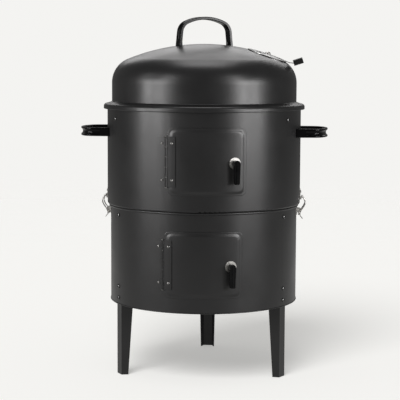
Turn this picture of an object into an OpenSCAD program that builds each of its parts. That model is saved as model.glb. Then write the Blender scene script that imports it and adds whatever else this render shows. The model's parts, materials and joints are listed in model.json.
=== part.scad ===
// Vertical water smoker: a domed lid over two stacked barrels on three folded legs.
// Units mm, +Z up, origin on the barrel axis at the floor, the doors face -Y.

/* [Barrels] */
// outer radius of the upper barrel
upper_r = 200; // [198:0.5:202]
// outer radius of the lower barrel
lower_r = 193.3; // [192:0.1:194]
// thickness of the barrel sheet
wall = 1.2; // [1:0.1:1.4]
// height of the lower barrel's bottom edge
lower_z = 144.6; // [140:0.2:148]
// height of the upper barrel's bottom edge, the joint line
joint_z = 345.4; // [344:0.2:346]
// height of the upper barrel's top edge
mouth_z = 551.5; // [551:0.1:551.6]

/* [Lid] */
// outer radius of the lid's wall
lid_r = 190.7; // [190:0.1:192]
// radius of the dome
dome_r = 415; // [414:0.5:416]
// radius of the shoulder between dome and wall
shoulder_r = 52; // [48:1:56]
// height of the top of the dome
apex_z = 673.6; // [672:0.2:675]
// thickness of the lid's sheet
lid_t = 1; // [0.8:0.1:1.1]
// how far the lid handle is turned about the vertical
lid_handle_turn = 33; // [0:1:60]

/* [Vent damper] */
// distance of the damper's pivot from the lid's axis
vent_reach = 132; // [125:1:135]
// direction of the damper's pivot, from +X towards -Y
vent_turn = 9; // [0:1:30]
// radius of the damper disc
vent_r = 42; // [38:1:43]
// direction of the grip at rest, turned from straight outwards
grip_turn = 12; // [0:1:20]

/* [Doors] */
// width of each door, measured straight across
door_w = 153; // [145:1:156]
// height of each door
door_h = 132; // [124:1:134]
// radius of the door's corners
door_corner = 10; // [8:1:14]
// direction of the upper door's centre, from -Y towards +X
upper_door_turn = 5; // [3:0.5:7]
// height of the upper door's centre
upper_door_z = 444.3; // [442:0.5:446]
// direction of the lower door's centre
lower_door_turn = 3; // [2:0.5:6]
// height of the lower door's centre
lower_door_z = 240.8; // [239:0.5:243]

/* [Handles] */
// height of each handle's arch above its feet
handle_rise = 60.4; // [60:0.2:61]
// radius of the shallow bend along the handle's top
handle_top_r = 110; // [108:1:112]
// radius of the handle's two corners
handle_corner_r = 24; // [23:0.5:25]
// half the angle that the shallow bend takes up
handle_bend = 23; // [22:0.5:24]
// how far each leg of the handle leans out from upright
handle_lean = 6; // [5:0.5:7]
// width of the handle's strap
handle_w = 18; // [16:0.5:20]
// thickness of the handle's strap
handle_t = 6; // [5.6:0.2:7]
// height of the side handles
side_handle_z = 494; // [488:1:498]

/* [Legs] */
// width of a leg's flat outer web
leg_w = 21; // [19:0.5:22]
// depth of a leg at the floor
leg_foot_depth = 13.3; // [12:0.1:16]
// depth of a leg at its top
leg_top_depth = 25.7; // [24:0.1:27]
// height of a leg's top
leg_top_z = 200; // [196:1:202]
// thickness of the leg's sheet
leg_t = 1.5; // [1.2:0.1:1.8]

/* [Hidden] */
// smoothness of large rings and of small round things
big = 120;
small = 32;
// clearance round a shank in its hole, and the gap left between pieces that touch
fit = 0.05;
gap = 0.3;
// directions of the legs and brackets from -Y
thirds = [-60, 60, 180];
// heights of the bracket screws and the leg screws
upper_screw_z = 522.5;
lower_screw_z = 327.7;
leg_screw_zs = [181.8, 158.2];
screw_d = 5;
// heights of the seats: upper grate, lower grate, water bowl, charcoal bowl
upper_seat_z = 531;
lower_seat_z = 338;
water_seat_z = 318;
charcoal_seat_z = 206;
// how far in the grate seats and bowl seats reach
grate_seat_r = 178;
water_seat_r = 167;
charcoal_seat_r = 160;
bracket_w = 18;
bracket_t = 1.5;
grate_r = 184;
// the lid's shoulder and dome meet where both are tangent
dome_cz = apex_z - dome_r;
shoulder_x = lid_r - shoulder_r;
dome_half = asin(shoulder_x / (dome_r - shoulder_r));
shoulder_z = dome_cz + (dome_r - shoulder_r) * cos(dome_half);
vent_tilt = asin(vent_reach / dome_r);
vent_hole_r = 9;
vent_hole_reach = 24;
vent_lift = 0.5;
vent_t = 1.2;
// door panel: distances out from the barrel's wall
door_gap = 0.4;
door_t = 1.2;
door_press = 1.5;
door_lip = 5;
door_face = door_gap + door_t + door_press;
opening_w = door_w - 12;
opening_h = door_h - 12;
// hinge, measured from the door's centre line and the barrel's wall
hinge_x = -door_w / 2 - 3.6;
hinge_out = 3.9;
hinge_len = 99;
knuckle_r = 3.2;
hinge_pin_r = 1.6;
leaf_t = 1.2;
leaf_w = 18;
frame_rivet_x = 9.5;
door_rivet_x = 12;
hinge_rivet_z = 36;
// latch, measured from the door's free edge
latch_in = 22.5;
latch_z = -2.4;
latch_stand = 12.8;
lever_t = 8;
lever_w = 13;
lever_end = 10;
ridge_w = 3.4;
lever_down = 40.3;
spindle_d = 8;
tongue_in = 5.5;
tongue_t = 2;
tongue_len = 27;
// clip: heights and radii of its pivot, its bail's hook and its bar
clip_pivot = [198.5, 331.5];
clip_hook = [199.3, 324];
clip_bar = [204.5, 360.5];
clip_wire = 2.4;
clip_half = 12;
clip_shelf_z = clip_bar[1] - clip_wire / 2 - 0.2;

// ---------- shared shapes ----------

// puts children at a direction from -Y: in there, -Y is straight out from the axis
module facing(turn, z = 0) rotate([0, 0, turn]) translate([0, 0, z]) children();

// a cylinder along the line out from the axis, between two distances from it
module radial_rod(r0, r1, d, x = 0, z = 0, n = small)
    translate([x, -r0, z]) rotate([90, 0, 0]) cylinder(h = r1 - r0, d = d, $fn = n);

// a rod between two points
module rod(a, b, d) {
    v = b - a;
    len = norm(v);
    translate(a) rotate([0, acos(v[2] / len), atan2(v[1], v[0])]) cylinder(h = len, d = d, $fn = 24);
}

// a wire that follows a list of points
module wire(points, d) {
    for (i = [0 : len(points) - 2]) rod(points[i], points[i + 1], d);
    for (i = [1 : len(points) - 2]) translate(points[i]) sphere(d = d * 1.04, $fn = 24);
}

// a flat rectangle with round corners
module round_rect(w, h, r) {
    square([w - 2 * r, h], center = true);
    square([w, h - 2 * r], center = true);
    for (x = [-1, 1], y = [-1, 1]) translate([x * (w / 2 - r), y * (h / 2 - r)]) circle(r = r, $fn = 48);
}

// a thin ring of the barrel's curve between two radii
module shell(r0, r1, z0, z1) difference() {
    translate([0, 0, z0]) cylinder(h = z1 - z0, r = r1, $fn = big);
    translate([0, 0, z0 - 1]) cylinder(h = z1 - z0 + 2, r = r0, $fn = big);
}

// a round-cornered sheet bent to the barrel's curve, centred on -Y
module bent_sheet(r0, r1, w, h, corner, x = 0, z = 0) intersection() {
    shell(r0, r1, z - h, z + h);
    translate([x, 0, z]) rotate([90, 0, 0]) linear_extrude(height = r1 + 5) round_rect(w, h, corner);
}

// a low domed head, flat side down on z = 0
module dome_head(d, h) {
    r = (d * d / 4 + h * h) / (2 * h);
    intersection() {
        cylinder(h = h + 1, d = d + 1, $fn = small);
        translate([0, 0, h - r]) sphere(r = r, $fn = 64);
    }
}

// a cross-slotted screw pointing inwards from distance r, its head outside
module wall_screw(r, len, z) translate([0, -r - gap / 6, z]) rotate([90, 0, 0]) {
    difference() {
        union() {
            cylinder(h = 0.8, d = 8.6, $fn = small);
            translate([0, 0, 0.7]) dome_head(8.2, 1.9);
        }
        for (a = [0, 90]) rotate([0, 0, a + 20]) translate([-2.4, -0.5, 1.4]) cube([4.8, 1, 3]);
    }
    translate([0, 0, -len]) cylinder(h = len + 0.4, d = screw_d, $fn = small);
}

// a nut on that screw, its outer face at distance r
module wall_nut(r, z) difference() {
    radial_rod(r - 4, r, 9.2, 0, z, 6);
    radial_rod(r - 5, r + 1, screw_d + 2 * fit, 0, z);
}

module rivet(r, shank, x, z, d = 6) {
    translate([x, -r, z]) rotate([90, 0, 0]) dome_head(d, 1.6);
    radial_rod(r - shank, r + 0.3, 3.6, x, z);
    radial_rod(r - shank - 1, r - shank, 5, x, z);
}

// ---------- barrels ----------

module barrel_section_upper() {
    translate([upper_r - wall, joint_z + 2.6]) square([wall, mouth_z - 2 - joint_z - 2.6]);
    translate([upper_r - 2.6, joint_z + 2.6]) circle(r = 2.6, $fn = small);
    translate([upper_r - 2, mouth_z - 2]) circle(r = 2, $fn = small);
}

module barrel_section_lower() {
    translate([lower_r - wall, lower_z + 1.1]) square([wall, joint_z + 11 - lower_z - 1.1]);
    translate([lower_r - wall + 1.1, lower_z + 1.1]) circle(r = 1.1, $fn = small);
    translate([lower_r + 1, joint_z - 2.75]) circle(r = 2.6, $fn = small);
}

// what a door takes out of its barrel: the opening, and holes for the frame leaf's rivets
module door_cut(r, z) {
    translate([0, 0, z]) rotate([90, 0, 0]) linear_extrude(height = r + 20)
        round_rect(opening_w, opening_h, door_corner - 4);
    at_hinge(r) for (s = [-1, 1]) leaf_hole(r, -frame_rivet_x, z + s * hinge_rivet_z);
}

module upper_barrel() color([0.08, 0.08, 0.085]) difference() {
    rotate_extrude($fn = big) barrel_section_upper();
    facing(upper_door_turn) door_cut(upper_r, upper_door_z);
    for (t = thirds) facing(t) radial_rod(upper_r - 20, upper_r + 5, screw_d + 2 * fit, 0, upper_screw_z);
    for (s = [-90, 90]) facing(s) {
        for (x = [-1, 1]) side_screw_hole(x);
        for (x = [-1, 1]) radial_rod(upper_r - 20, upper_r + 5, 3.7, x * 6, clip_bar[1] + 9);
    }
}

module lower_barrel() color([0.08, 0.08, 0.085]) difference() {
    rotate_extrude($fn = big) barrel_section_lower();
    facing(lower_door_turn) door_cut(lower_r, lower_door_z);
    for (t = thirds) facing(t) for (z = concat(lower_screw_z, leg_screw_zs))
        radial_rod(lower_r - 20, lower_r + 5, screw_d + 2 * fit, 0, z);
    for (s = [-90, 90]) facing(s) for (x = [-1, 1])
        radial_rod(lower_r - 20, lower_r + 5, 3.7, x * 13.5, clip_pivot[1] - 2);
}

// ---------- lid ----------

// the region under the dome, shoulder and wall, drawn inwards by a sheet's thickness
module dome_region(in) {
    square([lid_r - in, shoulder_z]);
    translate([shoulder_x, shoulder_z]) circle(r = shoulder_r - in, $fn = 96);
    intersection() {
        translate([0, dome_cz]) circle(r = dome_r - in, $fn = 720);
        polygon([[0, dome_cz], [0, apex_z + 20],
            [(apex_z + 20 - dome_cz) * tan(dome_half + 0.2), apex_z + 20]]);
    }
}

// the flared rim: out over the barrel's edge, then rolled down around it
module rim_section() {
    polygon([[lid_r - lid_t / 2, 553.5], [201.2, 550.9], [202.4, 550.9], [202.4, 551.7], [201.2, 551.8],
        [lid_r + 1, 555], [lid_r - lid_t / 2, 556.3]]);
    translate([201.6, 545.8]) intersection() {
        difference() {
            circle(r = 6, $fn = 64);
            circle(r = 5, $fn = 64);
        }
        square(7);
    }
    translate([206.6, 541.8]) square([1, 4.4]);
    translate([206.3, 541.9]) circle(r = 1.3, $fn = 24);
}

// puts children on the dome at the vent's pivot: +Z is the dome's normal, +X points down the slope
module at_vent(turn = 0)
    translate([0, 0, dome_cz]) rotate([0, 0, -vent_turn]) rotate([0, vent_tilt, 0]) translate([0, 0, dome_r])
        rotate([0, 0, turn]) children();

module vent_holes(r, turn) rotate([0, 0, turn]) for (a = [0, 120, 240]) rotate([0, 0, a])
    translate([vent_hole_reach, 0, -10]) cylinder(h = 20, r = r, $fn = 48);

module lid() color([0.09, 0.09, 0.095]) difference() {
    rotate_extrude($fn = big) {
        intersection() {
            difference() {
                dome_region(0);
                dome_region(lid_t);
            }
            translate([0, 553]) square([lid_r + 10, 130]);
        }
        rim_section();
    }
    at_vent() {
        translate([0, 0, -10]) cylinder(h = 20, d = screw_d + 2 * fit, $fn = small);
        vent_holes(vent_hole_r, 60);
    }
    rotate([0, 0, lid_handle_turn]) for (s = [-1, 1])
        translate([s * handle_screw_x, 0, apex_z - 20]) cylinder(h = 30, d = 4.3, $fn = small);
}

// the dished disc, concentric with the dome, and the tab that carries the grip
module vent_damper() color([0.55, 0.56, 0.57]) difference() {
    union() {
        intersection() {
            difference() {
                translate([0, 0, dome_cz]) sphere(r = dome_r + vent_lift + vent_t, $fn = 200);
                translate([0, 0, dome_cz]) sphere(r = dome_r + vent_lift, $fn = 200);
            }
            at_vent(grip_turn) union() {
                translate([0, 0, -20]) cylinder(h = 40, r = vent_r, $fn = 96);
                translate([30, -4.5, -20]) cube([18, 9, 40]);
            }
        }
        at_vent(grip_turn) translate([46, -4.5, -2]) rotate([0, -10, 0]) cube([10.5, 9, vent_t]);
        at_vent(grip_turn) translate([55.6, -4.5, -0.35]) rotate([0, -36, 0]) cube([15, 9, vent_t]);
    }
    at_vent() {
        translate([0, 0, -10]) cylinder(h = 20, d = screw_d + 0.16, $fn = small);
        vent_holes(vent_hole_r, 0);
    }
}

// moulded sleeve on the tab, a rounded block
module vent_grip() color([0.03, 0.03, 0.032]) at_vent(grip_turn)
    translate([55.6, 0, -0.35]) rotate([0, -36, 0]) difference() {
        translate([1, 0, 0.6]) rotate([0, 90, 0]) linear_extrude(height = 19.6) round_rect(11.4, 16, 2.4);
        translate([0, -4.55, -0.05]) cube([15.3, 9.1, vent_t + 0.1]);
    }

// pivot screw with a domed knob above the disc and a nut below the lid
module vent_pivot() color([0.6, 0.6, 0.6]) at_vent() {
    translate([0, 0, vent_lift + vent_t + 0.3]) {
        cylinder(h = 2.2, d = 11, $fn = small);
        translate([0, 0, 2.2]) dome_head(9.6, 2.6);
    }
    translate([0, 0, -9]) cylinder(h = 12, d = screw_d, $fn = small);
    translate([0, 0, -lid_t - 0.1 - 4]) cylinder(h = 4, d = 9.2, $fn = 6);
}

// ---------- handles ----------

// middle of the strap: the arcs' centres, and where its legs meet z = 0
handle_top_y = handle_rise - handle_t / 2 - handle_top_r;
handle_corner = (handle_top_r - handle_corner_r) * [sin(handle_bend), cos(handle_bend)] + [0, handle_top_y];
handle_foot_x = handle_corner[0] + handle_corner_r / cos(handle_lean) + handle_corner[1] * tan(handle_lean);
handle_screw_x = handle_foot_x - 2;

// two sections carried along the strap: the first round its corners and down its legs to this
// height, the second along its top, which the corners run into by a little
module along_handle(foot_y) {
    for (s = [0, 1]) rotate([0, s * 180, 0])
        translate([handle_corner[0], handle_corner[1], 0]) rotate([0, 0, handle_lean]) {
        rotate_extrude(angle = 91.2 - handle_bend - handle_lean, $fn = 96)
            translate([handle_corner_r, 0]) children(0);
        rotate([90, 0, 0]) linear_extrude(height = (handle_corner[1] - foot_y) / cos(handle_lean))
            translate([handle_corner_r, 0]) children(0);
    }
    translate([0, handle_top_y, 0]) rotate([0, 0, 90 - handle_bend])
        rotate_extrude(angle = 2 * handle_bend, $fn = big) translate([handle_top_r, 0]) children(1);
}

// an arch in the XZ plane, feet drawn down past z = 0 to be trimmed, a groove along its outer face
module arch() rotate([90, 0, 0]) difference() {
    union() {
        along_handle(-7.5) {
            round_rect(handle_t + 0.04, handle_w + 0.04, 1.4);
            round_rect(handle_t, handle_w, 1.4);
        }
        for (s = [-1, 1]) translate([s * (handle_screw_x - 1), -7.5, 0]) rotate([-90, 0, 0])
            cylinder(h = 16.5, d = 10, $fn = small);
    }
    along_handle(12) {
        translate([6.2, 0]) circle(r = 6.62, $fn = 40);
        translate([6.2, 0]) circle(r = 6.6, $fn = 40);
    }
}

// screw holes up into the feet
module arch_holes() for (s = [-1, 1])
    translate([s * handle_screw_x, 0, -10]) cylinder(h = 18, d = 4.1, $fn = small);

// a screw that enters a foot from below, its head's top at z
module foot_screw(z) for (s = [-1, 1]) translate([s * handle_screw_x, 0, 0]) {
    translate([0, 0, z]) cylinder(h = 7 - z, d = 4, $fn = small);
    translate([0, 0, z]) rotate([180, 0, 0]) difference() {
        translate([0, 0, -0.01]) dome_head(8, 2.8);
        for (a = [0, 90]) rotate([0, 0, a]) translate([-2, -0.5, 1.6]) cube([4, 1, 3]);
    }
}

lid_handle_z = apex_z - 5;

module lid_handle() color([0.035, 0.035, 0.04]) difference() {
    translate([0, 0, lid_handle_z]) rotate([0, 0, lid_handle_turn]) difference() {
        arch();
        arch_holes();
    }
    translate([0, 0, dome_cz]) sphere(r = dome_r + fit, $fn = 200);
}

module lid_handle_screws() color([0.5, 0.5, 0.51])
    translate([0, 0, lid_handle_z]) rotate([0, 0, lid_handle_turn]) foot_screw(-0.85);

side_handle_r = 195.2;

// puts children with +Z straight out along the side, the arch lying flat
module at_side(s) translate([s * side_handle_r, 0, side_handle_z]) rotate([0, s * 90, 0])
    rotate([0, 0, 90]) children();

module side_screw_hole(x) translate([x * handle_screw_x, -upper_r - 5, side_handle_z])
    rotate([-90, 0, 0]) cylinder(h = 60, d = 4.3, $fn = small);

module side_handle(s) difference() {
    at_side(s) difference() {
        arch();
        arch_holes();
    }
    cylinder(h = 700, r = upper_r + fit, $fn = big);
}

module left_side_handle() color([0.035, 0.035, 0.04]) side_handle(-1);
module right_side_handle() color([0.035, 0.035, 0.04]) side_handle(1);
module side_handle_screws() color([0.5, 0.5, 0.51]) for (s = [-1, 1]) at_side(s) foot_screw(-6.7);

// ---------- legs, brackets and their fasteners ----------

leg_face = sqrt(pow(lower_r - wall, 2) - pow(leg_w / 2, 2)) - 0.05;
leg_splay = 18;

// folded sheet: a flat web outside, two flanges that spread inwards and taper in depth
module leg(t) facing(t) difference() {
    edge = leg_w / 2 + 30 * tan(leg_splay);
    inset = leg_t / cos(leg_splay);
    corner = leg_w / 2 - inset + leg_t * tan(leg_splay);
    linear_extrude(height = leg_top_z) translate([0, -leg_face]) polygon([
        [-leg_w / 2, 0], [leg_w / 2, 0], [edge, 30], [edge - inset, 30], [corner, leg_t],
        [-corner, leg_t], [inset - edge, 30], [-edge, 30]]);
    translate([-40, -leg_face + leg_foot_depth, 0])
        rotate([-atan((leg_top_depth - leg_foot_depth) / leg_top_z), 0, 0])
        translate([0, 0, -50]) cube([80, 60, 300]);
    for (z = leg_screw_zs) radial_rod(leg_face - 5, leg_face + 5, screw_d + 2 * fit, 0, z);
}

module front_left_leg() color([0.08, 0.08, 0.085]) leg(thirds[0]);
module front_right_leg() color([0.08, 0.08, 0.085]) leg(thirds[1]);
module rear_leg() color([0.08, 0.08, 0.085]) leg(thirds[2]);

module leg_screws() color([0.45, 0.45, 0.46]) for (t = thirds) facing(t) for (z = leg_screw_zs)
    wall_screw(lower_r, 11, z);

module leg_nuts() color([0.5, 0.5, 0.51]) for (t = thirds) facing(t) {
    wall_nut(leg_face - leg_t - bracket_t - 0.1, leg_screw_zs[0]);
    wall_nut(leg_face - leg_t - 0.1, leg_screw_zs[1]);
}

// an upright strap against a flat at distance r with shelves that reach inwards: [top height, reach]
module shelf_bracket(r, z0, z1, w, shelves, screw_z) difference() {
    union() {
        translate([-w / 2, -r, z0]) cube([w, bracket_t, z1 - z0]);
        for (s = shelves) translate([-w / 2, -r, s[0] - bracket_t]) cube([w, r - s[1], bracket_t]);
    }
    radial_rod(r - 5, r + 5, screw_d + 2 * fit, 0, screw_z);
}

// the flat chord that a strap of this width makes inside a barrel
function strap_r(r) = sqrt(pow(r - wall, 2) - pow(bracket_w / 2, 2)) - 0.05;

module upper_brackets() color([0.5, 0.5, 0.51]) for (t = thirds) facing(t)
    shelf_bracket(strap_r(upper_r), upper_seat_z - 20, upper_seat_z, bracket_w,
        [[upper_seat_z, grate_seat_r]], upper_screw_z);

module lower_brackets() color([0.5, 0.5, 0.51]) for (t = thirds) facing(t)
    shelf_bracket(strap_r(lower_r), water_seat_z - 4, lower_seat_z, bracket_w,
        [[lower_seat_z, grate_seat_r], [water_seat_z, water_seat_r]], lower_screw_z);

module charcoal_brackets() color([0.5, 0.5, 0.51]) for (t = thirds) facing(t)
    shelf_bracket(leg_face - leg_t - 0.05, leg_screw_zs[0] - 10, charcoal_seat_z, 14,
        [[charcoal_seat_z, charcoal_seat_r]], leg_screw_zs[0]);

module bracket_screws() color([0.45, 0.45, 0.46]) for (t = thirds) facing(t) {
    wall_screw(upper_r, 8.5, upper_screw_z);
    wall_screw(lower_r, 8.5, lower_screw_z);
}

module bracket_nuts() color([0.5, 0.5, 0.51]) for (t = thirds) facing(t) {
    wall_nut(strap_r(upper_r) - bracket_t - 0.05, upper_screw_z);
    wall_nut(strap_r(lower_r) - bracket_t - 0.05, lower_screw_z);
}

// ---------- grates and bowls ----------

// a wire ring with two bearers under a row of bars, resting on z
module grate(z) translate([0, 0, z + 0.2 + 2.5]) {
    rotate_extrude($fn = big) translate([grate_r, 0]) circle(r = 2.5, $fn = 24);
    for (y = [-75, 75]) {
        half = sqrt(grate_r * grate_r - y * y);
        rod([-half, y, 0], [half, y, 0], 5);
    }
    for (i = [-11 : 11]) {
        x = i * 15;
        half = sqrt(grate_r * grate_r - x * x);
        rod([x, -half, 3.6], [x, half, 3.6], 3.4);
    }
}

module upper_grate() color([0.75, 0.75, 0.76]) grate(upper_seat_z);
module lower_grate() color([0.75, 0.75, 0.76]) grate(lower_seat_z);

// a pressed bowl: rolled rim on its seat, a sloping side and a flat floor
module bowl(seat_z, rim_r, side_r, floor_r, depth) translate([0, 0, seat_z + 0.2]) rotate_extrude($fn = big) {
    t = 1.2;
    polygon([[rim_r, 0], [rim_r, t], [side_r - 0.7, t], [floor_r - 0.7, t - depth], [0, t - depth],
        [0, -depth], [floor_r, -depth], [side_r, 0]]);
    translate([rim_r - 0.4, 1.6]) circle(r = 1.6, $fn = 24);
}

module water_bowl() color([0.07, 0.07, 0.08]) bowl(water_seat_z, 174, 162, 126, 60);
module charcoal_bowl() color([0.07, 0.07, 0.08]) bowl(charcoal_seat_z, 170, 156, 122, 54);

// ---------- doors ----------

// moves children so that z runs along the hinge axis
module at_hinge(r) translate([hinge_x, -sqrt(pow(r + hinge_out, 2) - hinge_x * hinge_x), 0])
    rotate([0, 0, asin(hinge_x / (r + hinge_out))]) children();

// a rivet's hole straight out through a leaf and what it lies on
module leaf_hole(r, x, z) translate([x, 20, z]) rotate([90, 0, 0]) cylinder(h = 40, d = 3.7, $fn = small);

module door_panel(r, z) difference() {
    union() {
        difference() {
            bent_sheet(r + door_gap, r + door_gap + door_t, door_w, door_h, door_corner, 0, z);
            bent_sheet(r, r + 5, door_w - 2 * door_lip - 2 * door_t, door_h - 2 * door_lip - 2 * door_t,
                door_corner - 4, 0, z);
        }
        bent_sheet(r + door_gap + door_press, r + door_face, door_w - 2 * door_lip, door_h - 2 * door_lip,
            door_corner - 3, 0, z);
        difference() {
            bent_sheet(r + door_gap, r + door_face, door_w - 2 * door_lip, door_h - 2 * door_lip,
                door_corner - 3, 0, z);
            bent_sheet(r, r + 5, door_w - 2 * door_lip - 2 * door_t, door_h - 2 * door_lip - 2 * door_t,
                door_corner - 4, 0, z);
        }
    }
    at_latch(r, z) translate([0, 0, -15]) cylinder(h = 30, d = spindle_d + 0.16, $fn = small);
    at_hinge(r) for (s = [-1, 1]) leaf_hole(r, door_rivet_x, z + s * hinge_rivet_z);
}

// five knuckles: the frame leaf takes the first, third and fifth, the door leaf the rest
function knuckle_z(z, i) = z - hinge_len / 2 + i * hinge_len / 5;

module knuckles(r, z, picks) at_hinge(r) for (i = picks)
    translate([0, 0, knuckle_z(z, i) + gap / 2])
        cylinder(h = hinge_len / 5 - gap, r = knuckle_r, $fn = small);

module hinge_bore(r, z, d) at_hinge(r)
    translate([0, 0, z - hinge_len]) cylinder(h = 2 * hinge_len, d = d, $fn = small);

// room round the other leaf's knuckles
module knuckle_room(r, z, picks) at_hinge(r) for (i = picks)
    translate([0, 0, knuckle_z(z, i) - gap / 2])
        cylinder(h = hinge_len / 5 + gap, r = knuckle_r + gap, $fn = small);

module frame_leaf(r, z) difference() {
    union() {
        knuckles(r, z, [0, 2, 4]);
        bent_sheet(r + fit, r + leaf_t, leaf_w, hinge_len - gap, 1.5, hinge_x - leaf_w / 2, z);
    }
    hinge_bore(r, z, 2 * hinge_pin_r + 2 * fit);
    knuckle_room(r, z, [1, 3]);
    at_hinge(r) for (s = [-1, 1]) leaf_hole(r, -frame_rivet_x, z + s * hinge_rivet_z);
}

module door_leaf(r, z) difference() {
    union() {
        knuckles(r, z, [1, 3]);
        bent_sheet(r + door_face + fit, r + door_face + leaf_t, leaf_w, hinge_len - gap, 1.5,
            hinge_x + leaf_w / 2, z);
    }
    hinge_bore(r, z, 2 * hinge_pin_r + 2 * fit);
    knuckle_room(r, z, [0, 2, 4]);
    at_hinge(r) for (s = [-1, 1]) leaf_hole(r, door_rivet_x, z + s * hinge_rivet_z);
}

module hinge_pin(r, z) at_hinge(r) translate([0, 0, z - hinge_len / 2 - 1]) {
    cylinder(h = hinge_len + 2, r = hinge_pin_r, $fn = small);
    translate([0, 0, hinge_len + 1]) dome_head(5, 1.4);
    translate([0, 0, 1]) rotate([180, 0, 0]) dome_head(5, 1.4);
}

// a hinge rivet: its head lies on a leaf whose face is this far out from the hinge axis
module leaf_rivet(x, face, shank, z) translate([x, 0, z]) rotate([90, 0, 0]) {
    translate([0, 0, face]) dome_head(6, 1.7);
    translate([0, 0, face - shank]) cylinder(h = shank + 0.2, d = 3.6, $fn = small);
    translate([0, 0, face - shank - 1]) cylinder(h = 1, d = 5, $fn = small);
}

module door_rivets(r, z) at_hinge(r) for (s = [-1, 1])
    leaf_rivet(door_rivet_x, 0.28, 3, z + s * hinge_rivet_z);

module frame_rivets(r, z) at_hinge(r) for (s = [-1, 1])
    leaf_rivet(-frame_rivet_x, -2.75, 2.9, z + s * hinge_rivet_z);

// ---------- latches ----------

// puts children on the door at the latch: +Z is straight out, +Y is up
module at_latch(r, z) {
    x = door_w / 2 - latch_in;
    rotate([0, 0, asin(x / (r + door_face))]) translate([0, -r - door_face, z + latch_z])
        rotate([90, 0, 0]) children();
}

module latch_plate(r, z) difference() {
    at_latch(r, z) translate([0, 0, -1.5]) difference() {
        union() {
            cylinder(h = 2.6, d = 23, $fn = 48);
            translate([0, 0, 2]) cylinder(h = 1.8, d = 17, $fn = 48);
        }
        translate([0, 0, -1]) cylinder(h = 8, d = spindle_d + 0.16, $fn = small);
    }
    translate([0, 0, z - 50]) cylinder(h = 100, r = r + door_face + fit, $fn = 720);
}

// the lever stands off the plate on its hub and hangs down, tapered, with a ridge along its face
module latch_lever(r, z) at_latch(r, z) difference() {
    union() {
        translate([0, 0, 2.7]) cylinder(h = latch_stand - door_face - 2.7 + 1, d = 12, $fn = 48);
        translate([0, 0, latch_stand - door_face]) {
            cylinder(h = lever_t - 2, d = lever_w, $fn = 48);
            linear_extrude(height = lever_t - 2) {
                polygon([[-lever_w / 2, 0], [-lever_end / 2, 2 - lever_down], [lever_end / 2, 2 - lever_down],
                    [lever_w / 2, 0]]);
                translate([2 - lever_end / 2, -lever_down]) square([lever_end - 4, 3]);
                for (x = [-1, 1]) translate([x * (lever_end / 2 - 2), 2 - lever_down])
                    circle(r = 2, $fn = small);
            }
            translate([-ridge_w / 2, 1.5 - lever_down, 1])
                cube([ridge_w, lever_down + 3, lever_t - 1 - ridge_w / 2]);
            translate([0, 4.5, lever_t - ridge_w / 2]) rotate([90, 0, 0])
                cylinder(h = lever_down + 3, d = ridge_w, $fn = small);
        }
    }
    translate([0, 0, -1]) cylinder(h = latch_stand - door_face + 5, d = spindle_d - 0.9, $fn = small);
}

// a plain journal through door and plate, a smaller end in the lever, a thread inside
module latch_spindle(r, z) at_latch(r, z) {
    translate([0, 0, -door_face - tongue_in + 0.05])
        cylinder(h = door_face + tongue_in + 2.5, d = spindle_d, $fn = small);
    translate([0, 0, 2]) cylinder(h = latch_stand - door_face + 1.9, d = spindle_d - 1, $fn = small);
    translate([0, 0, -door_face - tongue_in - tongue_t - 3.8]) cylinder(h = tongue_t + 4, d = 5, $fn = small);
}

module latch_tongue(r, z) at_latch(r, z) translate([0, 0, -door_face - tongue_in - tongue_t]) difference() {
    union() {
        translate([-7, -tongue_len + 4, 0]) cube([14, tongue_len - 4, tongue_t]);
        cylinder(h = tongue_t, r = 7, $fn = small);
        intersection() {
            translate([0, -tongue_len + 7, 0]) cylinder(h = tongue_t, r = 7, $fn = small);
            translate([-7, -tongue_len, 0]) cube([14, 5, tongue_t]);
        }
    }
    translate([0, 0, -1]) cylinder(h = 5, d = 5.1, $fn = small);
}

module latch_nut(r, z) at_latch(r, z)
    translate([0, 0, -door_face - tongue_in - tongue_t - 3.5]) difference() {
    cylinder(h = 3.4, d = 9.2, $fn = 6);
    translate([0, 0, -1]) cylinder(h = 6, d = 5.1, $fn = small);
}

module upper_set() facing(upper_door_turn) children();
module lower_set() facing(lower_door_turn) children();

module upper_door() color([0.08, 0.08, 0.085]) upper_set() door_panel(upper_r, upper_door_z);
module upper_door_leaf() color([0.07, 0.07, 0.075]) upper_set() door_leaf(upper_r, upper_door_z);
module upper_frame_leaf() color([0.07, 0.07, 0.075]) upper_set() frame_leaf(upper_r, upper_door_z);
module upper_hinge_pin() color([0.3, 0.3, 0.31]) upper_set() hinge_pin(upper_r, upper_door_z);
module upper_door_rivets() color([0.5, 0.5, 0.51]) upper_set() door_rivets(upper_r, upper_door_z);
module upper_latch_plate() color([0.6, 0.6, 0.61]) upper_set() latch_plate(upper_r, upper_door_z);
module upper_latch_lever() color([0.035, 0.035, 0.04]) upper_set() latch_lever(upper_r, upper_door_z);
module upper_latch_spindle() color([0.5, 0.5, 0.51]) upper_set() latch_spindle(upper_r, upper_door_z);
module upper_latch_tongue() color([0.5, 0.5, 0.51]) upper_set() latch_tongue(upper_r, upper_door_z);
module upper_latch_nut() color([0.5, 0.5, 0.51]) upper_set() latch_nut(upper_r, upper_door_z);

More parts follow.
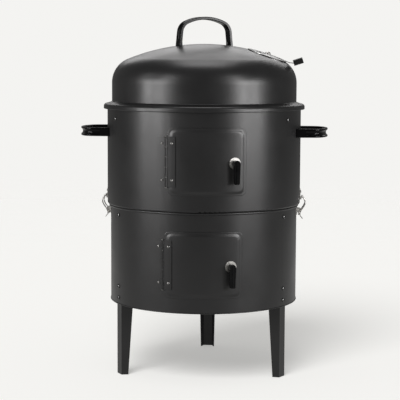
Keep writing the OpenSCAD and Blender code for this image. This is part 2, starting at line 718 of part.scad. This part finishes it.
module lower_door() color([0.08, 0.08, 0.085]) lower_set() door_panel(lower_r, lower_door_z);
module lower_door_leaf() color([0.07, 0.07, 0.075]) lower_set() door_leaf(lower_r, lower_door_z);
module lower_frame_leaf() color([0.07, 0.07, 0.075]) lower_set() frame_leaf(lower_r, lower_door_z);
module lower_hinge_pin() color([0.3, 0.3, 0.31]) lower_set() hinge_pin(lower_r, lower_door_z);
module lower_door_rivets() color([0.5, 0.5, 0.51]) lower_set() door_rivets(lower_r, lower_door_z);
module lower_latch_plate() color([0.6, 0.6, 0.61]) lower_set() latch_plate(lower_r, lower_door_z);
module lower_latch_lever() color([0.035, 0.035, 0.04]) lower_set() latch_lever(lower_r, lower_door_z);
module lower_latch_spindle() color([0.5, 0.5, 0.51]) lower_set() latch_spindle(lower_r, lower_door_z);
module lower_latch_tongue() color([0.5, 0.5, 0.51]) lower_set() latch_tongue(lower_r, lower_door_z);
module lower_latch_nut() color([0.5, 0.5, 0.51]) lower_set() latch_nut(lower_r, lower_door_z);

module frame_leaf_rivets() color([0.5, 0.5, 0.51]) {
    upper_set() frame_rivets(upper_r, upper_door_z);
    lower_set() frame_rivets(lower_r, lower_door_z);
}

// ---------- clips across the joint ----------

// a cylinder across the clip, at a [distance out, height], from one side of its middle to the other
module cross_pin(p, half, d) translate([-half, -p[0], p[1]]) rotate([0, 90, 0])
    cylinder(h = 2 * half, d = d, $fn = small);

// base plate on the lower barrel with two ears for the pivot
module clip_base() difference() {
    union() {
        bent_sheet(lower_r + fit, lower_r + 1.4, 36, 17, 3, 0, clip_pivot[1] - 0.5);
        for (s = [-1, 1]) translate([s * 7.3, 0, 0]) {
            cross_pin(clip_pivot, 0.6, 8);
            translate([-0.6, -clip_pivot[0], clip_pivot[1] - 4])
                cube([1.2, clip_pivot[0] - lower_r - 0.6, 8]);
        }
    }
    cross_pin(clip_pivot, 20, 3.1);
    for (x = [-1, 1]) radial_rod(lower_r - 5, lower_r + 6, 3.7, x * 13.5, clip_pivot[1] - 2);
}

module clip_pin() {
    cross_pin(clip_pivot, 8.4, 3);
    for (s = [-1, 1]) translate([s * 8.25, 0, 0]) cross_pin(clip_pivot, 0.25, 4.4);
}

// channel lever: two sides, a web outside, and a tail that flares out for a finger
module clip_lever() difference() {
    union() {
        for (s = [-1, 1]) translate([s * 5.4, 0, 0]) {
            cross_pin(clip_pivot, 0.6, 6.4);
            translate([-0.6, -clip_pivot[0] - 3.2, clip_pivot[1] - 10.5]) cube([1.2, 4.9, 10.5]);
        }
        translate([-5.9, -clip_pivot[0], clip_pivot[1]]) rotate([90, 0, 90]) linear_extrude(height = 11.8)
            polygon([[-3.3, 0], [-3.3, -12.3], [-7.7, -17.9], [-6.8, -18.6], [-2.2, -12.7], [-2.2, 0]]);
    }
    cross_pin(clip_pivot, 10, 3.12);
    cross_pin(clip_hook, 10, clip_wire + 0.12);
}

// one bent wire: hooked into the lever at both ends, bowed out past the joint, a straight bar on top
module clip_bail() {
    side = [clip_hook, [203, 332], [208.6, 340], [211.2, 346], [210.6, 352], [207.6, 357.4], clip_bar];
    left = [for (p = side) [-clip_half, -p[0], p[1]]];
    right = [for (i = [len(side) - 1 : -1 : 0]) [clip_half, -side[i][0], side[i][1]]];
    wire(concat([[-4.6, -side[0][0], side[0][1]]], left, right, [[4.6, -side[0][0], side[0][1]]]), clip_wire);
}

// catch plate on the upper barrel with a shelf under the bail's bar
module clip_catch() difference() {
    union() {
        bent_sheet(upper_r + fit, upper_r + 1.3, 22, 22, 3, 0, clip_bar[1] + 4);
        translate([-9, -206.8, clip_shelf_z - 1.4]) cube([18, 206.8 - upper_r - 0.4, 1.4]);
        for (s = [-1, 1]) translate([s * 8.3 - 0.7, -203.5, clip_shelf_z - 5])
            cube([1.4, 203.5 - upper_r - 0.4, 5]);
    }
    for (x = [-1, 1]) radial_rod(upper_r - 5, upper_r + 6, 3.7, x * 6, clip_bar[1] + 9);
}

module clip_rivets() color([0.5, 0.5, 0.51]) for (t = [-90, 90]) facing(t) for (x = [-1, 1]) {
    rivet(lower_r + 1.35, 3.6, x * 13.5, clip_pivot[1] - 2);
    rivet(upper_r + 1.3, 3.1, x * 6, clip_bar[1] + 9);
}

module left_clip_base() color([0.6, 0.6, 0.61]) facing(-90) clip_base();
module left_clip_catch() color([0.6, 0.6, 0.61]) facing(-90) clip_catch();
module left_clip_lever() color([0.6, 0.6, 0.61]) facing(-90) clip_lever();
module left_clip_bail() color([0.65, 0.65, 0.66]) facing(-90) clip_bail();
module left_clip_pin() color([0.5, 0.5, 0.51]) facing(-90) clip_pin();
module right_clip_base() color([0.6, 0.6, 0.61]) facing(90) clip_base();
module right_clip_catch() color([0.6, 0.6, 0.61]) facing(90) clip_catch();
module right_clip_lever() color([0.6, 0.6, 0.61]) facing(90) clip_lever();
module right_clip_bail() color([0.65, 0.65, 0.66]) facing(90) clip_bail();
module right_clip_pin() color([0.5, 0.5, 0.51]) facing(90) clip_pin();

// ---------- nodes ----------

lid();
lid_handle();
lid_handle_screws();
vent_pivot();
vent_damper();
vent_grip();
upper_barrel();
lower_barrel();
front_left_leg();
front_right_leg();
rear_leg();
leg_screws();
leg_nuts();
upper_brackets();
lower_brackets();
charcoal_brackets();
bracket_screws();
bracket_nuts();
upper_grate();
lower_grate();
water_bowl();
charcoal_bowl();
left_side_handle();
right_side_handle();
side_handle_screws();
upper_door();
upper_door_leaf();
upper_frame_leaf();
upper_hinge_pin();
upper_door_rivets();
upper_latch_plate();
upper_latch_lever();
upper_latch_spindle();
upper_latch_tongue();
upper_latch_nut();
lower_door();
lower_door_leaf();
lower_frame_leaf();
lower_hinge_pin();
lower_door_rivets();
lower_latch_plate();
lower_latch_lever();
lower_latch_spindle();
lower_latch_tongue();
lower_latch_nut();
frame_leaf_rivets();
left_clip_base();
left_clip_catch();
left_clip_lever();
left_clip_bail();
left_clip_pin();
right_clip_base();
right_clip_catch();
right_clip_lever();
right_clip_bail();
right_clip_pin();
clip_rivets();
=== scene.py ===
"""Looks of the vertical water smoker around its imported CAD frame. Metres, the frame's own axes."""
import json
import math

import bmesh
import bpy
from mathutils import Matrix, Vector


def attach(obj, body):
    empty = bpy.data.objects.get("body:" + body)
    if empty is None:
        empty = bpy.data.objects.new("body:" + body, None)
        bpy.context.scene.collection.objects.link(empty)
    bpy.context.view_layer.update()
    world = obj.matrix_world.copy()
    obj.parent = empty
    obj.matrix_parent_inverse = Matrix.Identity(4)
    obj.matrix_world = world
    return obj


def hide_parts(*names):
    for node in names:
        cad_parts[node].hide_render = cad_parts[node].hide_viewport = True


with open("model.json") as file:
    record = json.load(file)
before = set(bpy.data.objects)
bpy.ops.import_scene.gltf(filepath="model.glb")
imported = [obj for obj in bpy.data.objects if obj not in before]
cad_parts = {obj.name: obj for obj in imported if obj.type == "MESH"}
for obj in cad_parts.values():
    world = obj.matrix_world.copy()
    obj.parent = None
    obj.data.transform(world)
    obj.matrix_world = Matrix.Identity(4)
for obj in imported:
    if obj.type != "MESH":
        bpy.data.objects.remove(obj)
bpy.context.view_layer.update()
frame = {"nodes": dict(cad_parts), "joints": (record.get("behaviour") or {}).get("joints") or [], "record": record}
scene = bpy.context.scene
nodes = frame["nodes"]


# ---------- materials ----------

class Finish:
    """A node material whose colour, roughness and bump come from a few noise layers."""

    def __init__(self, name, base, rough, metal=0.0):
        self.mat = bpy.data.materials.new(name)
        self.mat.use_nodes = True
        self.tree = self.mat.node_tree
        self.bsdf = self.tree.nodes["Principled BSDF"]
        self.bsdf.inputs["Metallic"].default_value = metal
        self.place = self.tree.nodes.new("ShaderNodeTexCoord")
        self.base, self.rough = base, rough
        self.height = None

    def noise(self, scale, detail=4.0, stretch=(1, 1, 1)):
        mapping = self.tree.nodes.new("ShaderNodeMapping")
        mapping.inputs["Scale"].default_value = stretch
        self.tree.links.new(self.place.outputs["Object"], mapping.inputs["Vector"])
        node = self.tree.nodes.new("ShaderNodeTexNoise")
        node.inputs["Scale"].default_value = scale
        node.inputs["Detail"].default_value = detail
        self.tree.links.new(mapping.outputs["Vector"], node.inputs["Vector"])
        return node.outputs["Fac"]

    def spread(self, value, low, high):
        node = self.tree.nodes.new("ShaderNodeMapRange")
        node.inputs["From Min"].default_value = 0.3
        node.inputs["From Max"].default_value = 0.7
        node.inputs["To Min"].default_value = low
        node.inputs["To Max"].default_value = high
        self.tree.links.new(value, node.inputs["Value"])
        return node.outputs["Result"]

    def ramp(self, value, *stops):
        node = self.tree.nodes.new("ShaderNodeValToRGB")
        ramp = node.color_ramp
        while len(ramp.elements) < len(stops):
            ramp.elements.new(0.5)
        for element, (at, color) in zip(ramp.elements, stops):
            element.position = at
            element.color = (*color, 1)
        self.tree.links.new(value, node.inputs["Fac"])
        return node.outputs["Color"]

    def tint(self, value, change):
        low = [max(0, c * (1 - change)) for c in self.base]
        high = [min(1, c * (1 + change)) for c in self.base]
        self.tree.links.new(self.ramp(value, (0.35, low), (0.65, high)), self.bsdf.inputs["Base Color"])
        return self

    def polish(self, value, change):
        out = self.spread(value, self.rough - change, self.rough + change)
        self.tree.links.new(out, self.bsdf.inputs["Roughness"])
        return self

    def bump(self, value, strength, distance):
        node = self.tree.nodes.new("ShaderNodeBump")
        node.inputs["Strength"].default_value = strength
        node.inputs["Distance"].default_value = distance
        self.tree.links.new(value, node.inputs["Height"])
        if self.height is not None:
            self.tree.links.new(self.height, node.inputs["Normal"])
        self.height = node.outputs["Normal"]
        self.tree.links.new(self.height, self.bsdf.inputs["Normal"])
        return self

    def set(self, **values):
        for key, value in values.items():
            self.bsdf.inputs[key.replace("_", " ")].default_value = value
        return self


def powder(name, base, rough):
    f = Finish(name, base, rough)
    f.tint(f.noise(9, 5), 0.12)
    f.polish(f.noise(22, 5), 0.03)
    f.bump(f.noise(520, 3), 0.10, 0.0006)
    f.bump(f.noise(1500, 2), 0.10, 0.0003)
    return f.mat


def moulded(name, base, rough, coat):
    f = Finish(name, base, rough)
    f.tint(f.noise(40, 4), 0.15)
    f.polish(f.noise(60, 5), 0.05)
    f.bump(f.noise(130, 3), 0.02, 0.0006)
    f.set(Coat_Weight=coat, Coat_Roughness=0.12, Specular_IOR_Level=0.14)
    return f.mat


def metal(name, base, rough, stretch=(1, 1, 1)):
    f = Finish(name, base, rough, metal=1.0)
    f.tint(f.noise(60, 5), 0.12)
    f.polish(f.noise(240, 4, stretch), 0.08)
    f.bump(f.noise(700, 3, stretch), 0.08, 0.0003)
    return f.mat


def enamel(name):
    f = Finish(name, (0.012, 0.012, 0.015), 0.2)
    f.tint(f.noise(700, 1), 0.5)
    f.polish(f.noise(30, 4), 0.05)
    f.bump(f.noise(160, 2), 0.06, 0.0008)
    f.set(Coat_Weight=0.4, Coat_Roughness=0.08)
    return f.mat


FINISHES = {
    "powder_black": powder("powder_black", (0.0080, 0.0079, 0.0082), 0.34),
    # the hinge is the same powder coat as the barrel, given a darker colour as painted shade so its knuckle reads
    # as a dark line
    "hinge_black": powder("hinge_black", (0.0055, 0.0054, 0.0056), 0.36),
    "enamel_black": enamel("enamel_black"),
    "bakelite_black": moulded("bakelite_black", (0.0030, 0.0030, 0.0033), 0.17, 0.0),
    "grip_black": moulded("grip_black", (0.010, 0.010, 0.010), 0.45, 0.1),
    "damper_steel": metal("damper_steel", (0.30, 0.30, 0.295), 0.26),
    "screw_dark": metal("screw_dark", (0.10, 0.10, 0.10), 0.3),
    "rivet_steel": metal("rivet_steel", (0.22, 0.215, 0.21), 0.32),
    "zinc": metal("zinc", (0.52, 0.51, 0.49), 0.36),
    "wire_chrome": metal("wire_chrome", (0.62, 0.62, 0.63), 0.2),
}
for entry in frame["record"]["subparts"]:
    obj = nodes[entry["node"]]
    obj.data.materials.clear()
    obj.data.materials.append(FINISHES[entry["material_slot"]])
# the small door rivets are duller than the clips, which share their slot
for name in ("frame_leaf_rivets", "upper_door_rivets", "lower_door_rivets"):
    nodes[name].data.materials[0] = FINISHES["rivet_steel"]


# ---------- pressed door panels ----------

def rounded_distance(x, z, half_w, half_h, corner):
    """How far inside a round-cornered rectangle a point lies."""
    dx, dz = abs(x) - (half_w - corner), abs(z) - (half_h - corner)
    return corner - math.hypot(max(dx, 0), max(dz, 0)) - min(max(dx, dz), 0)


def smooth(t):
    """An eased step that goes from 0 to 1 as t does."""
    t = min(1, max(0, t))
    return t * t * (3 - 2 * t)


def edge_steps(half, fine, count):
    """Places from -half to half: close together near both edges, then evenly spread."""
    inner = half - fine[-1]
    middle = [-inner + 2 * inner * i / count for i in range(1, count)]
    return [-half + f for f in fine] + middle + [half - f for f in reversed(fine)]


def build_mesh(name, verts, faces, finish, smooth_angle=35):
    mesh = bpy.data.meshes.new(name)
    mesh.from_pydata(verts, [], faces)
    mesh.validate()
    work = bmesh.new()
    work.from_mesh(mesh)
    bmesh.ops.recalc_face_normals(work, faces=work.faces)
    work.to_mesh(mesh)
    work.free()
    mesh.materials.append(FINISHES[finish])
    mesh.shade_smooth()
    mesh.set_sharp_from_angle(angle=math.radians(smooth_angle))
    piece = bpy.data.objects.new(name, mesh)
    scene.collection.objects.link(piece)
    return piece


def cut_hole(piece, place, normal, radius, depth):
    """A round hole through a piece, cut with an exact boolean that is applied at once."""
    bpy.ops.mesh.primitive_cylinder_add(vertices=64, radius=radius, depth=depth, location=place)
    cutter = bpy.context.object
    cutter.rotation_mode = "QUATERNION"
    cutter.rotation_quaternion = Vector(normal).to_track_quat("Z", "Y")
    mod = piece.modifiers.new("hole", "BOOLEAN")
    mod.operation, mod.object, mod.solver = "DIFFERENCE", cutter, "EXACT"
    bpy.context.view_layer.update()
    deps = bpy.context.evaluated_depsgraph_get()
    cut = bpy.data.meshes.new_from_object(piece.evaluated_get(deps))
    piece.modifiers.clear()
    old = piece.data
    piece.data = cut
    bpy.data.meshes.remove(old)
    bpy.data.objects.remove(cutter)


def door_panel(level, radius, turn, middle, hole):
    """A sheet bent to the barrel, its field pressed outwards inside a flat border."""
    half_w, half_h, corner = 0.0765, 0.066, 0.010
    sheet, press = 0.0012, 0.0012
    border, slope, field_corner = 0.0030, 0.0056, 0.012
    gap, edge_drop, edge_width = 0.0004, 0.00035, 0.0006
    across, along = 34, 24
    fine = [0, 0.0001, 0.0003, 0.0007, 0.0013, 0.0022, 0.0033, 0.0041,
            0.0046, 0.0051, 0.0056, 0.0061, 0.0067, 0.0078, 0.0093, 0.0115]
    a = math.radians(turn)
    cos_a, sin_a = math.cos(a), math.sin(a)
    verts = []
    columns = edge_steps(half_w, fine, across)
    rows = len(edge_steps(half_h, fine, along))
    for side in (1, 0):
        for x in columns:
            over = abs(x) - (half_w - corner)
            drop = corner - math.sqrt(max(0, corner ** 2 - over ** 2)) if over > 0 else 0
            for z in edge_steps(half_h - drop, fine, along):
                d = rounded_distance(x, z, half_w, half_h, corner)
                field = rounded_distance(x, z, half_w - border, half_h - border, field_corner)
                lift = press * smooth(field / slope)
                if side:
                    lift += sheet - edge_drop * (1 - smooth(d / edge_width))
                r = radius + gap + lift
                y = -math.sqrt(r * r - x * x)
                verts.append((x * cos_a - y * sin_a, x * sin_a + y * cos_a, middle + z))
    n = len(columns)
    size = n * rows
    faces = []
    for i in range(n - 1):
        for j in range(rows - 1):
            k = i * rows + j
            faces.append((k, k + rows, k + rows + 1, k + 1))
            faces.append((size + k, size + k + 1, size + k + rows + 1, size + k + rows))
    ring = ([i * rows for i in range(n)] + [(n - 1) * rows + j for j in range(1, rows)]
            + [i * rows + rows - 1 for i in range(n - 2, -1, -1)] + [j for j in range(rows - 2, 0, -1)])
    for k, v in enumerate(ring):
        w = ring[(k + 1) % len(ring)]
        faces.append((w, v, size + v, size + w))
    piece = build_mesh(level + "_pressed_door", verts, faces, "powder_black", 50)
    spindle_hole, cutter_depth = 0.0041, 0.03
    cut_hole(piece, hole[0], hole[1], spindle_hole, cutter_depth)
    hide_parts(level + "_door")
    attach(piece, level + "_door")


joints = {j["name"]: j for j in frame["joints"]}
for level, radius, turn, middle in (("upper", 0.2, 5, 0.4443), ("lower", 0.1933, 3, 0.2408)):
    latch = joints[level + "_latch_turn"]
    door_panel(level, radius, turn, middle, (latch["pos_m"], latch["axis"]))


# ---------- stage ----------

def node_material(name):
    mat = bpy.data.materials.new(name)
    mat.use_nodes = True
    mat.node_tree.nodes.clear()
    return mat, mat.node_tree


# the paper's colour, the room's even light, and how much of it the floor takes
PAPER = (0.905, 0.900, 0.880)
ROOM = 0.16
ROOM_ON_FLOOR = 0.82
# the shares of the floor's brightness that its two suns give, and how much of it reaches the object
SLANT_SHARE, OVERHEAD_SHARE = 0.38, 0.04
BOUNCE = 0.60


def make_floor():
    """A pale disc that fades into the background with distance, so there is no horizon."""
    radius, under_feet = 6, -0.0004
    bpy.ops.mesh.primitive_circle_add(
        vertices=96, radius=radius, fill_type="NGON", location=(0, 0, under_feet))
    floor = bpy.context.object
    floor.name = "floor"
    mat, tree = node_material("floor_paper")
    new, link = tree.nodes.new, tree.links.new
    out = new("ShaderNodeOutputMaterial")
    diffuse = new("ShaderNodeBsdfDiffuse")
    diffuse.inputs["Color"].default_value = (*PAPER, 1)
    glow = new("ShaderNodeEmission")
    glow.inputs["Color"].default_value = (*PAPER, 1)
    glow.inputs["Strength"].default_value = 1 - SLANT_SHARE - OVERHEAD_SHARE - ROOM_ON_FLOOR * ROOM
    mixed = new("ShaderNodeAddShader")
    link(diffuse.outputs[0], mixed.inputs[0])
    link(glow.outputs[0], mixed.inputs[1])
    place = new("ShaderNodeTexCoord")
    length = new("ShaderNodeVectorMath")
    length.operation = "LENGTH"
    link(place.outputs["Object"], length.inputs[0])
    fade = new("ShaderNodeMapRange")
    fade.interpolation_type = "SMOOTHSTEP"
    fade_start, fade_end = 1.0, 4.5
    fade.inputs["From Min"].default_value = fade_start
    fade.inputs["From Max"].default_value = fade_end
    link(length.outputs["Value"], fade.inputs["Value"])
    path = new("ShaderNodeLightPath")
    seen = new("ShaderNodeMapRange")
    seen.inputs["To Min"].default_value = BOUNCE
    link(path.outputs["Is Camera Ray"], seen.inputs["Value"])
    unlit = new("ShaderNodeEmission")
    unlit.inputs["Strength"].default_value = 0
    dimmed = new("ShaderNodeMixShader")
    link(seen.outputs["Result"], dimmed.inputs["Fac"])
    link(unlit.outputs[0], dimmed.inputs[1])
    link(mixed.outputs[0], dimmed.inputs[2])
    clear = new("ShaderNodeBsdfTransparent")
    final = new("ShaderNodeMixShader")
    link(fade.outputs["Result"], final.inputs["Fac"])
    link(dimmed.outputs[0], final.inputs[1])
    link(clear.outputs[0], final.inputs[2])
    link(final.outputs[0], out.inputs["Surface"])
    floor.data.materials.append(mat)
    return floor


def floor_group(floor, state):
    """A light-linking group that says whether the floor takes a lamp's light."""
    group = bpy.data.collections.new("floor_" + state.lower())
    group.objects.link(floor)
    group.collection_objects[0].light_linking.link_state = state
    return group


def make_world():
    world = bpy.data.worlds.new("studio")
    world.use_nodes = True
    scene.world = world
    tree = world.node_tree
    new, link = tree.nodes.new, tree.links.new
    tree.nodes.clear()
    out = new("ShaderNodeOutputWorld")
    seen = new("ShaderNodeBackground")
    seen.inputs["Color"].default_value = (*PAPER, 1)
    room = new("ShaderNodeBackground")
    room.inputs["Color"].default_value = (*PAPER, 1)
    room.inputs["Strength"].default_value = ROOM
    path = new("ShaderNodeLightPath")
    mix = new("ShaderNodeMixShader")
    link(path.outputs["Is Camera Ray"], mix.inputs["Fac"])
    link(room.outputs[0], mix.inputs[1])
    link(seen.outputs[0], mix.inputs[2])
    link(mix.outputs[0], out.inputs["Surface"])


def softbox(name, place, aim, size, power):
    """A rectangular lamp at place that faces aim and isn't seen itself."""
    data = bpy.data.lights.new(name, "AREA")
    data.shape = "RECTANGLE"
    data.size, data.size_y = size
    data.energy = power
    data.color = (1, 0.99, 0.99)
    light = bpy.data.objects.new(name, data)
    scene.collection.objects.link(light)
    light.location = place
    light.visible_camera = False
    light.rotation_mode = "QUATERNION"
    light.rotation_quaternion = (Vector(aim) - Vector(place)).to_track_quat("-Z", "Y")
    return light


def around(angle, reach, z):
    """A point at an angle from straight in front (-Y), towards +X."""
    a = math.radians(angle)
    return (reach * math.sin(a), -reach * math.cos(a), z)


def floor_sun(name, share, turn, rise, spread, group):
    """A soft sun for one light group. Its light heads back (+Y), turned towards +X, in degrees."""
    data = bpy.data.lights.new(name, "SUN")
    data.angle = math.radians(spread)
    turn, rise = math.radians(turn), math.radians(rise)
    data.energy = share * math.pi / math.sin(rise)
    sun = bpy.data.objects.new(name, data)
    scene.collection.objects.link(sun)
    down = Vector((math.sin(turn) * math.cos(rise), math.cos(turn) * math.cos(rise), -math.sin(rise)))
    sun.rotation_mode = "QUATERNION"
    sun.rotation_quaternion = down.to_track_quat("-Z", "Y")
    sun.light_linking.receiver_collection = group


def make_lights(floor):
    """Softboxes for the object, which leave the floor out, and two soft suns for the floor alone."""
    reach = 2.3
    low_z, low_aim, low_size = 0.7, (0, 0, 0.4), (0.3, 0.6)
    tall_z, tall_aim, tall_size = 1.2, (0, 0, 0.45), (0.3, 1.5)
    boxes = []
    for name, angle, power in (("left_low", -50, 11), ("far_left_low", -66, 11),
                               ("right_low", 50, 14), ("far_right_low", 66, 14)):
        boxes.append(softbox(name, around(angle, reach, low_z), low_aim, low_size, power))
    for name, angle, power in (("left_tall", -43, 12), ("far_left_tall", -72, 5), ("right_tall", 43, 13)):
        boxes.append(softbox(name, around(angle, reach, tall_z), tall_aim, tall_size, power))
    boxes.append(softbox("back_box", (0, 2.6, 1.9), (0, 0, 0.6), (3.0, 1.0), 17))
    boxes.append(softbox("high_back_box", (0, 2.0, 3.2), (0, 0, 0.6), (1.6, 1.6), 15))
    boxes.append(softbox("top_box", (0, 0.2, 3.4), (0, 0, 0), (1.6, 1.6), 30))
    others = floor_group(floor, "EXCLUDE")
    for box in boxes:
        box.light_linking.receiver_collection = others
    only = floor_group(floor, "INCLUDE")
    floor_sun("slant_sun", SLANT_SHARE, 19, 47, 34, only)
    floor_sun("overhead_sun", OVERHEAD_SHARE, 50, 72, 50, only)


def make_camera():
    data = bpy.data.cameras.new("camera")
    data.sensor_width = 36
    data.lens = 121.41
    data.clip_start, data.clip_end = 0.05, 60
    cam = bpy.data.objects.new("camera", data)
    scene.collection.objects.link(cam)
    place = (0.1549, -2.7968, 0.6519)
    yaw, pitch, roll = math.radians(3.33), math.radians(6.16), math.radians(0.26)
    ahead = Vector((-math.sin(yaw) * math.cos(pitch), math.cos(yaw) * math.cos(pitch), -math.sin(pitch)))
    right = Vector((math.cos(yaw), math.sin(yaw), 0))
    up = right.cross(ahead)
    right2 = right * math.cos(roll) + up * math.sin(roll)
    up2 = up * math.cos(roll) - right * math.sin(roll)
    cam.matrix_world = Matrix((
        (right2.x, up2.x, -ahead.x, place[0]),
        (right2.y, up2.y, -ahead.y, place[1]),
        (right2.z, up2.z, -ahead.z, place[2]),
        (0, 0, 0, 1)))
    scene.camera = cam


floor = make_floor()
make_world()
make_lights(floor)
make_camera()
scene.view_settings.view_transform = "Standard"
